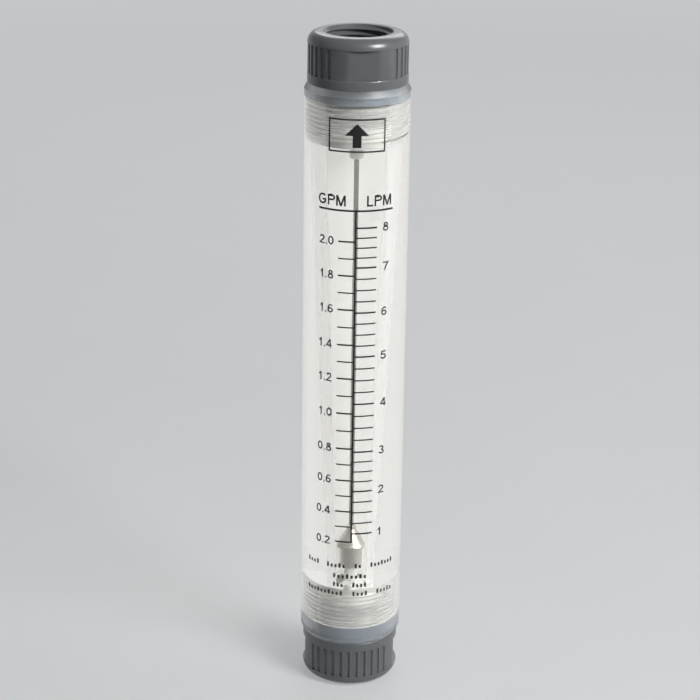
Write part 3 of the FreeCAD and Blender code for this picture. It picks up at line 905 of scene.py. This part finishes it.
def remap(tree, value, value_range, result_range=(0.0, 1.0)):
    """Output that follows a value's range over another range, and stays within it."""
    node = tree.nodes.new("ShaderNodeMapRange")
    tree.links.new(value, node.inputs["Value"])
    ends = dict(zip(("From Min", "From Max", "To Min", "To Max"), (*value_range, *result_range)))
    for socket, end in ends.items():
        node.inputs[socket].default_value = end
    return node.outputs["Result"]


def steady(tree, tone):
    """Shader that shows one tone whatever light falls on it."""
    node = tree.nodes.new("ShaderNodeEmission")
    node.inputs["Color"].default_value = tone
    return node.outputs["Emission"]


def seen_rays(tree):
    """Output that is 1 for the rays that show a background: from the camera, off metal, through glass."""
    paths = tree.nodes.new("ShaderNodeLightPath").outputs
    mirrored = calculate(tree, "MAXIMUM", paths["Is Camera Ray"], paths["Is Glossy Ray"])
    return calculate(tree, "MAXIMUM", mirrored, paths["Is Transmission Ray"])


def dark_front(tree, lit, place_axes, left_lean, dark_range):
    """Painted reflection: a dark tone painted into what reflected rays see, in place of the unlit front of
    a light tent.

    The dark grows towards -Y and leans left.  Rays reflected inside the tube's wall miss it.
    """
    paths = tree.nodes.new("ShaderNodeLightPath").outputs
    reflected = calculate(tree, "GREATER_THAN", paths["Glossy Depth"], 0.5)
    in_wall = calculate(tree, "COMPARE", paths["Transmission Depth"], WALL_DEPTH, WALL_DEPTH_SPAN)
    off_piece = calculate(tree, "MULTIPLY", reflected, calculate(tree, "SUBTRACT", 1.0, in_wall))
    lean = calculate(tree, "MULTIPLY", place_axes["X"], left_lean)
    depth = calculate(tree, "ADD", place_axes["Y"], lean)
    front = remap(tree, depth, [-end for end in dark_range])
    share = calculate(tree, "MULTIPLY", off_piece, front)
    return blend(tree, share, lit, steady(tree, PAINTED_REFLECTION_DARK))


def behind_glass(tree, lit):
    """Clear acrylic shows an even bright backdrop, as a card behind it gives."""
    paths = tree.nodes.new("ShaderNodeLightPath").outputs
    direct = calculate(tree, "LESS_THAN", paths["Diffuse Depth"], 0.5)
    share = calculate(tree, "MULTIPLY", paths["Is Transmission Ray"], direct)
    return blend(tree, share, lit, steady(tree, GLASS_TONE))


def axes(tree, vector):
    """Outputs X, Y and Z of a vector."""
    parts = tree.nodes.new("ShaderNodeSeparateXYZ")
    tree.links.new(vector, parts.inputs["Vector"])
    return parts.outputs


def make_stage():
    """Pale seamless floor.  Part of its tone is steady, so that it stays pale far from the lamps."""
    finish = Finish("pale_floor", Roughness=0.75, Specular_IOR_Level=0.15)
    tree = finish.tree
    cloud = finish.noise(60, 3.0)
    finish.colour(cloud, (0.3, (0.62, 0.63, 0.64, 1)), (0.7, (0.64, 0.65, 0.66, 1)))
    where = finish.add("ShaderNodeTexCoord").outputs["Object"]
    distance = finish.add("ShaderNodeVectorMath", operation="LENGTH")
    tree.links.new(where, distance.inputs[0])
    fade = remap(tree, distance.outputs["Value"], (STEADY_FROM_M, STEADY_TO_M), (STEADY_SHARE, 1.0))
    share = calculate(tree, "MULTIPLY", seen_rays(tree), fade)
    pale = blend(tree, share, finish.shader.outputs["BSDF"], steady(tree, FLOOR_TONE))
    # Rays reflected off the meter see a painted dark tone on the front of the floor.
    shown = dark_front(tree, behind_glass(tree, pale), axes(tree, where), FLOOR_LEAN, FLOOR_DARK)
    tree.links.new(shown, finish.output.inputs["Surface"])
    bpy.ops.mesh.primitive_plane_add(size=FLOOR_SIZE_M, location=(0, 0, -FLOOR_DROP_M))
    floor = bpy.context.object
    floor.name = "floor"
    floor.data.materials.append(finish.material)


def background(tree, strength):
    node = tree.nodes.new("ShaderNodeBackground")
    node.inputs["Color"].default_value = (1, 1, 1, 1)
    node.inputs["Strength"].default_value = strength
    return node


def make_world():
    """Pale studio, darker overhead.  What it sheds on the meter is a plain weak light."""
    world = bpy.data.worlds.new("studio")
    world.use_nodes = True
    tree = world.node_tree
    tree.nodes.clear()
    output = tree.nodes.new("ShaderNodeOutputWorld")
    directions = axes(tree, tree.nodes.new("ShaderNodeTexCoord").outputs["Generated"])
    sky = tree.nodes.new("ShaderNodeValToRGB")
    stops = ((HORIZON, FLOOR_TONE), (OVERHEAD, HIGH_TONE))
    for element, (position, tone) in zip(sky.color_ramp.elements, stops):
        element.position = position
        element.color = tone
    tree.links.new(directions["Z"], sky.inputs["Fac"])
    seen = background(tree, 1.0)
    tree.links.new(sky.outputs["Color"], seen.inputs["Color"])
    light = background(tree, WORLD_LIGHT)
    pale = blend(tree, seen_rays(tree), light.outputs[0], seen.outputs[0])
    # Rays reflected off the meter see a painted dark tone in the front of the world.
    shown = dark_front(tree, behind_glass(tree, pale), directions, WORLD_LEAN, WORLD_DARK)
    tree.links.new(shown, output.inputs["Surface"])
    bpy.context.scene.world = world


def add_softbox(name, place_m, aim_m, width_m, height_m, power, in_glass=True):
    lamp = bpy.data.lights.new(name, "AREA")
    lamp.shape = "RECTANGLE"
    lamp.size = width_m
    lamp.size_y = height_m
    lamp.energy = power
    thing = bpy.data.objects.new(name, lamp)
    thing.location = place_m
    thing.visible_transmission = in_glass
    direction = Vector(aim_m) - Vector(place_m)
    thing.rotation_euler = direction.to_track_quat("-Z", "Y").to_euler()
    bpy.context.scene.collection.objects.link(thing)


def make_lights():
    middle = (0, 0, TOTAL * MM / 2)
    add_softbox("key_softbox", (0.6, -0.5, 0.75), middle, width_m=0.4, height_m=0.4, power=11.5)
    add_softbox("fill_softbox", (-0.75, -0.35, 0.45), middle, width_m=0.6, height_m=0.6, power=0.2,
                in_glass=False)
    add_softbox("back_softbox", (0.1, 0.8, 0.7), middle, width_m=0.7, height_m=0.5, power=3.0,
                in_glass=False)


def make_camera():
    """Camera at the height, pitch, roll and field of view that suit the upright meter."""
    pitch = math.radians(19.5027)
    roll = math.radians(0.8264)
    place_m = Vector((-1.22, -634.0, 337.45)) * MM
    forward = Vector((0, math.cos(pitch), -math.sin(pitch)))
    level_up = Vector((0, math.sin(pitch), math.cos(pitch)))
    right = Vector((1, 0, 0)) * math.cos(roll) + level_up * math.sin(roll)
    up = Vector((-1, 0, 0)) * math.sin(roll) + level_up * math.cos(roll)
    data = bpy.data.cameras.new("camera")
    data.sensor_width = 36
    data.lens = 107.985
    data.clip_start = 0.01
    camera = bpy.data.objects.new("camera", data)
    camera.matrix_world = Matrix.Translation(place_m) @ Matrix((right, up, -forward)).transposed().to_4x4()
    bpy.context.scene.collection.objects.link(camera)
    bpy.context.scene.camera = camera


make_stage()
make_world()
make_lights()
make_camera()
bpy.context.scene.view_settings.view_transform = "Standard"
